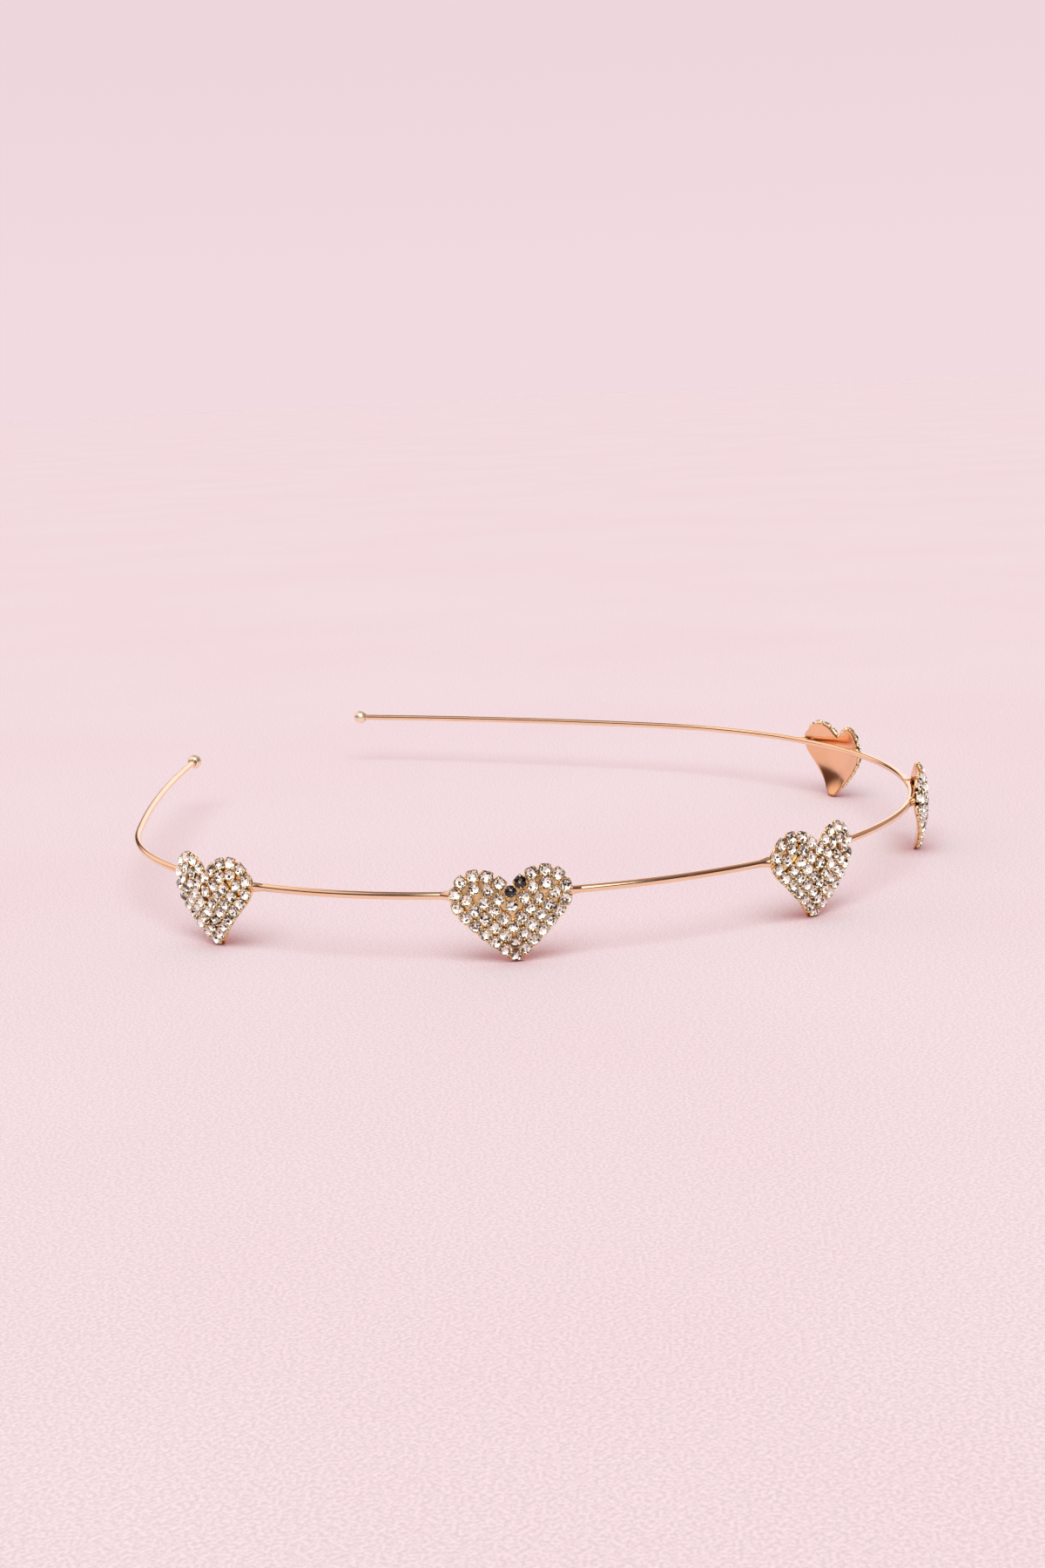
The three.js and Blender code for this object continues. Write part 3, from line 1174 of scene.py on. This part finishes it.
@dataclass
class StoneCup:
    """A square cup with a prong at each corner that folds over the stone, in the stone's own axes."""

    half_side: float = 0.97
    base_half_side: float = 0.84
    squareness: float = 7.0
    depth: float = 0.47
    floor: float = 0.02
    floor_radius: float = 0.8
    waist: float = -0.16
    lip: float = -0.06
    lip_edge: float = 0.01
    lip_drop: float = 0.03
    wall_inner: float = 0.95
    prong_rise: float = 0.34
    prong_lean: float = 0.06
    prong_outer: float = 0.98
    prong_top: float = 0.86
    prong_inner: float = 0.76
    prong_under: float = 0.85
    prong_full_angle: float = 4.0
    prong_half_angle: float = 15.0
    foot_share: float = 0.45
    bend_share: float = 0.85
    claw_share: float = 0.9
    under_share: float = 0.35
    corner_angles: tuple[float, ...] = (-45.0, -31.0, -22.0, -16.0, -10.0, -4.0, 4.0, 10.0, 16.0, 22.0, 31.0)

    def rings(self) -> np.ndarray:
        """Rings of the cup.

        Returns:
            The rings from its base, up the outside, over the prongs and down to the floor.
        """
        offsets = np.radians(self.corner_angles)
        angles = np.concatenate([offsets + (quarter + 0.5) * math.pi / 2 for quarter in range(4)])
        off_corner = np.abs(np.array(self.corner_angles))
        prong = np.tile(1 - smooth_step(off_corner, self.prong_full_angle, self.prong_half_angle), 4)
        spread = np.abs(np.cos(angles)) ** self.squareness + np.abs(np.sin(angles)) ** self.squareness
        square = self.half_side * spread ** (-1 / self.squareness)
        rise = self.prong_rise * prong
        lip_inner = self.lip - self.lip_drop
        lip_under = lip_inner - self.lip_drop

        def ring(radius: np.ndarray | float, height: np.ndarray | float) -> np.ndarray:
            """Ring of corners at their own radii and heights."""
            heights = np.broadcast_to(height, angles.shape)
            return np.column_stack((radius * np.cos(angles), radius * np.sin(angles), heights))

        def between(plain: float | np.ndarray, claw: float) -> np.ndarray:
            """Value that is plain along the walls and another at the prongs."""
            return plain + prong * (claw - plain)

        return np.array((
            ring(square * self.base_half_side / self.half_side, -self.depth),
            ring(square, self.waist),
            ring(square * (1 - self.prong_lean * prong), self.lip + self.foot_share * rise),
            ring(between(square - self.lip_edge, self.prong_outer), self.lip + self.bend_share * rise),
            ring(between(self.wall_inner + self.lip_edge, self.prong_top), self.lip + rise),
            ring(between(self.wall_inner, self.prong_inner), lip_inner + self.claw_share * rise),
            ring(between(self.wall_inner, self.prong_under), lip_under + self.under_share * rise),
            ring(self.wall_inner, self.waist),
            ring(self.floor_radius, self.floor - self.depth),
        ))

    def shell(self) -> tuple[np.ndarray, list[Face]]:
        """Closed shell of the cup.

        Returns:
            Its corners and its faces.
        """
        rings = self.rings()
        ends = (-self.depth * UP, (self.floor - self.depth) * UP)
        return np.vstack((rings.reshape(-1, 3), *ends)), skin_faces(*rings.shape[:2])


@dataclass(frozen=True)
class StoneRow:
    """A row of stones that follows the outline: how far inside it, its gaps, and its drop at the cleft."""

    inset: float
    lobe_gaps: int
    side_gaps: int
    cleft_drop: float = 0.0


@dataclass
class StoneField:
    """The stones of a heart in their cups: two rows that follow the outline and a V-shaped core row."""

    wire: BentWire
    row: HeartRow
    shape: HeartShape
    girdle_level: float = 2.66
    rows: tuple[StoneRow, ...] = (
        StoneRow(inset=1.0, lobe_gaps=6, side_gaps=6),
        StoneRow(inset=2.9, lobe_gaps=5, side_gaps=4, cleft_drop=0.4),
    )
    side_pitch: float = 2.0
    core_top: tuple[float, float] = (4.2, -0.6)
    core_bottom: tuple[float, float] = (0.0, -4.7)
    core_gaps: int = 3
    tilt: float = 10.0
    stone: CutStone = field(default_factory=CutStone)
    cup: StoneCup = field(default_factory=StoneCup)
    crease: float = 35.0

    def places(self) -> tuple[np.ndarray, np.ndarray]:
        """Places of a heart's stones.

        Returns:
            Their centres, and the direction of their row at each.
        """
        lines = [spaced(self.shape.half(row.inset), row.lobe_gaps, row.side_gaps, self.side_pitch)
                 for row in self.rows]
        for row, (spots, _) in zip(self.rows, lines):
            spots[0, 1] -= row.cleft_drop
        lines.append(spaced(np.array((self.core_top, self.core_bottom)), self.core_gaps))
        centres, ways = [], []
        for spots, along in lines:
            aside = spots[:, 0] > SAME_PLACE
            along[~aside] = (1.0, 0.0)
            centres += [spots, (spots[aside] * MIRROR)[::-1]]
            ways += [along, (along[aside] * MIRROR)[::-1]]
        return np.vstack(centres), np.vstack(ways)

    def axes(self) -> tuple[np.ndarray, np.ndarray]:
        """Seats of a heart's stones on the dome.

        Returns:
            The seats' points, and for each the three axes along the row, across it and out of the dome.
        """
        centres, ways = self.places()
        normals = self.shape.normals(centres)
        along = np.column_stack((ways, np.zeros(len(ways))))
        along -= (along * normals).sum(axis=1, keepdims=True) * normals
        along /= np.linalg.norm(along, axis=1, keepdims=True)
        across = np.cross(normals, along)
        return self.shape.on_dome(centres, self.girdle_level), np.stack((along, across, normals), axis=1)

    def setting_turn(self, chance: random.Random) -> np.ndarray:
        """Small tilt and free turn with which a stone was dropped in its cup.

        Args:
            chance: Source of the draws.

        Returns:
            The turn, for rows of points.
        """
        turn = Matrix.Rotation(chance.uniform(0.0, 2 * math.pi / self.stone.folds), 3, "Z")
        lean_axis = Vector((1.0, 0.0, 0.0))
        lean_axis.rotate(Matrix.Rotation(chance.uniform(0.0, 2 * math.pi), 3, "Z"))
        lean = Matrix.Rotation(math.radians(chance.uniform(0.0, self.tilt)), 3, lean_axis)
        return np.array(lean @ turn).T

    def build(self, place: HeartPlace, finishes: list[bpy.types.Material]) -> bpy.types.Object:
        """Builds the field of one heart, stones and cups in one piece.

        Args:
            place: Which heart.
            finishes: Materials in the order of FieldLayer.

        Returns:
            The piece.
        """
        chance = random.Random(place.name)
        mesh = JoinedMesh()
        cut, crown, pavilion = self.stone.corners(), self.stone.crown(), self.stone.pavilion()
        cup_corners, cup_faces = self.cup.shell()
        for number, (seat, axes) in enumerate(zip(*self.axes())):
            cup = self.row.seat(self.wire, place, seat + cup_corners @ axes)
            mesh.add(cup, cup_faces, FieldLayer.CUP.value)
            corners = self.row.seat(self.wire, place, seat + cut @ self.setting_turn(chance) @ axes)
            foil = FieldLayer.DULL_FOIL if number in place.dull_stones else FieldLayer.FOIL
            mesh.add(corners, crown + pavilion, FieldLayer.STONE.value, smooth=False)
            mesh.slots[-len(pavilion):] = [foil.value] * len(pavilion)
            leans = [tuple(chance.uniform(-1.0, 1.0) for _ in range(3)) for _ in pavilion]
            mesh.leans[-len(pavilion):] = leans
        piece = mesh.make(f"{place.name}_set_stones", finishes, self.crease)
        dress(piece, f"{place.name}_stones")
        return piece


@dataclass
class TipBall:
    """A ball pushed on an end of the wire, with a turned lip at its mouth."""

    wire: BentWire
    radius: float = 1.47
    bore_radius: float = 0.67
    bore_play: float = 0.05
    lip: float = 0.07
    lip_round: tuple[float, float] = (0.3, 0.25)
    cap_angle: float = 86.0
    sides: int = 40
    steps: int = 26
    crease: float = 50.0

    def profile(self) -> np.ndarray:
        """Profile of the ball, from the bottom of its bore, round the lip to its far side.

        Returns:
            Rows of (radius, distance along the axis, outwards).
        """
        mouth = math.acos((self.bore_radius + self.lip) / self.radius)
        sphere = arc((0.0, 0.0), self.radius, -mouth, math.radians(self.cap_angle), self.steps)
        lip_depth = -self.radius * math.sin(mouth)
        aside, inwards = self.lip_round
        bore_and_lip = (
            (self.bore_radius, -self.wire.ball_past + self.bore_play),
            (self.bore_radius, lip_depth + 2 * self.lip),
            (self.bore_radius, lip_depth + self.lip),
            (self.bore_radius + aside * self.lip, lip_depth + inwards * self.lip),
        )
        return np.vstack((bore_and_lip, sphere))

    def build(self, end: End, finish: bpy.types.Material) -> bpy.types.Object:
        """Builds the ball on one end.

        Args:
            end: Which end.
            finish: Its plating.

        Returns:
            The piece.
        """
        out = self.wire.outward(end)
        centre = self.wire.ball_centre(end)
        across = np.cross(out, UP)
        angles = np.linspace(0.0, 2 * math.pi, self.sides, endpoint=False)
        around = np.outer(np.cos(angles), across) + np.outer(np.sin(angles), UP)
        profile = self.profile()
        rings = np.array([centre + radius * around + along * out for radius, along in profile])
        mesh = JoinedMesh()
        mesh.skin(rings, centre + profile[0, 1] * out, centre + self.radius * out)
        name = f"tip_ball_{end.name.lower()}"
        piece = mesh.make(f"{name}_polished", [finish], self.crease)
        dress(piece, name)
        return piece


@dataclass(frozen=True)
class SoftBox:
    """A bright panel of the studio's sky: where it is in degrees, its half width, its blur and its light."""

    name: str
    azimuth: float
    elevation: float
    half_width: float
    blur: float
    light: Colour

    def direction(self) -> Vector:
        """Unit direction towards the panel, with azimuth 0 at the front and 90 at the right."""
        turn, rise = math.radians(self.azimuth), math.radians(self.elevation)
        return Vector((math.sin(turn) * math.cos(rise), -math.cos(turn) * math.cos(rise), math.sin(rise)))


@dataclass(frozen=True)
class Sky:
    """The studio as one kind of ray meets it: a room that brightens with height, and soft panels in it."""

    name: str
    room: tuple[tuple[float, Colour], ...]
    panels: tuple[SoftBox, ...]

    def light(self, bench: NodeBench, way: bpy.types.NodeSocket,
              height: bpy.types.NodeSocket) -> bpy.types.NodeSocket:
        """Builds the sky's light.

        Args:
            bench: Bench of the world's node tree.
            way: Direction that is looked in.
            height: Its upward part.

        Returns:
            The light from that direction.
        """
        ramp = bench.node("ShaderNodeValToRGB", {"Fac": height}, label=self.name)
        stops = ramp.color_ramp.elements
        for place, _ in self.room[1:-1]:
            stops.new(place)
        for stop, (place, tone) in zip(stops, self.room):
            stop.position = place
            stop.color = rgba(tone)
        light = ramp.outputs["Color"]
        for panel in self.panels:
            facing = bench.node("ShaderNodeVectorMath", {0: way, 1: panel.direction()},
                                operation="DOT_PRODUCT", label=panel.name)
            edge = math.cos(math.radians(panel.half_width + panel.blur))
            full = math.cos(math.radians(panel.half_width))
            glow = bench.span(facing.outputs["Value"], edge, full)
            light = bench.vector("MULTIPLY_ADD", glow, panel.light, light)
        return light


@dataclass
class Studio:
    """Pale floor, soft light from a studio sky, and a camera that stands where the photograph was taken."""

    floor_radius: float = 6000.0
    floor_sides: int = 64
    floor_drop: float = 0.02
    backdrop_low: Colour = (0.88, 0.71, 0.75)
    backdrop_high: Colour = (0.85, 0.68, 0.715)
    backdrop_span: tuple[float, float] = (0.0, 0.16)
    matt_sky: Sky = Sky("light on cloth", (
        (0.0, (0.632, 0.411, 0.415)),
        (0.5, (0.758, 0.493, 0.498)),
        (1.0, (0.885, 0.575, 0.58)),
    ), (
        SoftBox("key", -42.0, 55.0, 19.0, 10.0, (3.61, 5.61, 5.57)),
    ))
    mirror_sky: Sky = Sky("light on gilt", (
        (0.0, (0.11, 0.045, 0.028)),
        (0.28, (0.09, 0.04, 0.03)),
        (0.6, (0.13, 0.075, 0.065)),
        (0.87, (0.22, 0.16, 0.15)),
        (1.0, (0.42, 0.36, 0.37)),
    ), (
        SoftBox("window", -35.0, 42.0, 22.5, 7.0, (1.55, 1.55, 1.6)),
        SoftBox("window pane", -42.0, 50.0, 3.5, 1.0, (8.0, 8.0, 8.0)),
        SoftBox("window pane", -24.0, 36.0, 3.5, 1.0, (8.0, 8.0, 8.0)),
        SoftBox("right wall", 104.0, 28.0, 24.0, 22.0, (0.34, 0.25, 0.21)),
        SoftBox("far wall", -172.0, 31.0, 25.0, 6.0, (0.92, 0.74, 0.65)),
        SoftBox("far right", 134.0, 10.0, 13.0, 9.0, (0.95, 0.84, 0.82)),
        SoftBox("far corner", -122.0, 44.0, 16.0, 10.0, (0.7, 0.6, 0.56)),
    ))
    glitter_sky: Sky = Sky("light on stones", (
        (0.0, (0.90, 0.83, 0.76)),
        (0.3, (1.15, 1.09, 1.02)),
        (0.6, (1.4, 1.36, 1.3)),
        (1.0, (1.55, 1.53, 1.5)),
    ), (
        SoftBox("overhead", -30.0, 80.0, 20.0, 8.0, (0.5, 0.5, 0.5)),
        SoftBox("backdrop", 140.0, 14.0, 42.0, 16.0, (0.3, 0.3, 0.3)),
        SoftBox("left window", -118.0, 36.0, 17.0, 6.0, (0.6, 0.6, 0.6)),
        SoftBox("right window", 42.0, 36.0, 17.0, 6.0, (0.6, 0.6, 0.6)),
        SoftBox("left lamp", -66.0, 54.0, 3.5, 1.0, (5.0, 5.0, 5.0)),
        SoftBox("right lamp", -12.0, 58.0, 3.5, 1.0, (5.0, 5.0, 5.0)),
    ))
    camera_place: tuple[float, float, float] = (-263.81, -319.94, 90.69)
    camera_yaw: float = 40.949
    camera_pitch: float = 10.87
    camera_roll: float = -2.707
    camera_lens: float = 50.0

    def add_floor(self, finish: bpy.types.Material) -> None:
        """Adds the floor that the heart tips stand on.

        Args:
            finish: Its cloth.
        """
        angles = np.linspace(0.0, 2 * math.pi, self.floor_sides, endpoint=False)
        rim = np.column_stack((np.cos(angles), np.sin(angles), np.zeros(len(angles)))) * self.floor_radius
        corners = (rim - self.floor_drop * UP) * MM
        mesh = bpy.data.meshes.new("floor")
        mesh.from_pydata(corners.tolist(), [], [tuple(range(len(corners)))])
        mesh.materials.append(finish)
        floor = bpy.data.objects.new("floor", mesh)
        bpy.context.scene.collection.objects.link(floor)

    def add_sky(self) -> None:
        """Lights the scene from soft skies, with a plain backdrop behind the object."""
        world = bpy.data.worlds.new("studio")
        world.use_nodes = True
        bench = NodeBench(world.node_tree)
        way = bench.node("ShaderNodeTexCoord").outputs["Generated"]
        height = bench.node("ShaderNodeSeparateXYZ", {"Vector": way}).outputs["Z"]
        rays = bench.node("ShaderNodeLightPath").outputs
        light = self.matt_sky.light(bench, way, height)
        light = bench.mix(rays["Is Glossy Ray"], light, self.mirror_sky.light(bench, way, height))
        light = bench.mix(rays["Is Transmission Ray"], light, self.glitter_sky.light(bench, way, height))
        backdrop = bench.mix(bench.span(height, *self.backdrop_span), rgba(self.backdrop_low),
                             rgba(self.backdrop_high))
        light = bench.mix(rays["Is Camera Ray"], light, backdrop)
        background = bench.node("ShaderNodeBackground", {"Color": light})
        bench.node("ShaderNodeOutputWorld", {"Surface": background.outputs[0]})
        bpy.context.scene.world = world
        bpy.context.scene.view_settings.view_transform = "Standard"

    def add_camera(self) -> None:
        """Stands the camera at the photograph's place, with its tilt and its slight roll."""
        yaw = math.radians(self.camera_yaw)
        pitch = math.radians(self.camera_pitch)
        roll = math.radians(self.camera_roll)
        ahead = Vector((math.sin(yaw) * math.cos(pitch), math.cos(yaw) * math.cos(pitch), -math.sin(pitch)))
        level = Vector((math.cos(yaw), -math.sin(yaw), 0.0))
        up = level.cross(ahead)
        right = math.cos(roll) * level + math.sin(roll) * up
        above = math.cos(roll) * up - math.sin(roll) * level
        data = bpy.data.cameras.new("camera")
        data.lens = self.camera_lens
        camera = bpy.data.objects.new("camera", data)
        turn = Matrix((right, above, -ahead)).transposed().to_4x4()
        camera.matrix_world = Matrix.Translation(Vector(self.camera_place) * MM) @ turn
        bpy.context.scene.collection.objects.link(camera)
        bpy.context.scene.camera = camera


def main() -> None:
    """Builds the headband piece by piece, then the studio around it."""
    logging.basicConfig(level=logging.INFO, format="%(name)s: %(message)s")
    gilt = GiltFinish(
        "rose_gilt", bright=(0.99, 0.73, 0.50), deep=(0.96, 0.68, 0.45), crevice_shade=(0.52, 0.29, 0.16),
        polished=0.09, handled=0.2, ripple=0.06,
    ).material()
    # A lighter, creamier copy of the wire's gold: painted light on the balls.
    ball_gilt_painted_light = GiltFinish(
        "ball_gilt_painted_light", bright=(1.0, 0.86, 0.68), deep=(0.99, 0.82, 0.62), crevice_shade=(0.70, 0.45, 0.28),
        polished=0.36, handled=0.44, ripple=0.03,
    ).material()
    # A rosier, deeper copy of the wire's gold on the plates' backs: painted reflection of the rosy, shaded
    # floor.
    plate_gilt_painted_reflection = GiltFinish(
        "plate_gilt_painted_reflection", bright=(0.97, 0.60, 0.37), deep=(0.94, 0.56, 0.33), crevice_shade=(0.52, 0.27, 0.13),
        polished=0.12, handled=0.2, ripple=0.08,
    ).material()
    face_gilt = GiltFinish(
        "face_gilt", bright=(1.0, 0.82, 0.48), deep=(0.98, 0.71, 0.38), crevice_shade=(0.68, 0.39, 0.17),
        polished=0.26, handled=0.36, ripple=1.0, ripple_scale=1300.0,
    ).material()
    cup_gilt = GiltFinish(
        "cup_gilt", bright=(1.0, 0.88, 0.55), deep=(1.0, 0.80, 0.44), crevice_shade=(0.75, 0.45, 0.20),
        polished=0.1, handled=0.18, ripple=0.3, ripple_scale=1800.0,
    ).material()
    # The foils' dark shards are painted dark reflections in the stones.
    foil = FoilFinish(
        "mirror_foil", light=(1.0, 0.97, 0.92), dark=(0.055, 0.025, 0.012), dark_share=0.22, roughness=0.02,
    ).material()
    dull_foil = FoilFinish(
        "dull_foil", light=(0.5, 0.5, 0.54), dark=(0.012, 0.012, 0.015), dark_share=0.82, roughness=0.05,
    ).material()
    crystal = CrystalFinish().material()

    wire = BentWire()
    row = HeartRow()
    shape = HeartShape()
    pieces = [GiltFrame(wire, row, shape).build([gilt, plate_gilt_painted_reflection, face_gilt])]
    stones = StoneField(wire, row, shape)
    pieces += [stones.build(place, [cup_gilt, crystal, foil, dull_foil]) for place in row.places]
    ball = TipBall(wire)
    pieces += [ball.build(end, ball_gilt_painted_light) for end in End]
    for piece in pieces:
        LOG.info("%s has %d faces", piece.name, len(piece.data.polygons))

    studio = Studio()
    studio.add_floor(FloorFinish().material())
    studio.add_sky()
    studio.add_camera()


if __name__ == "__main__":
    main()
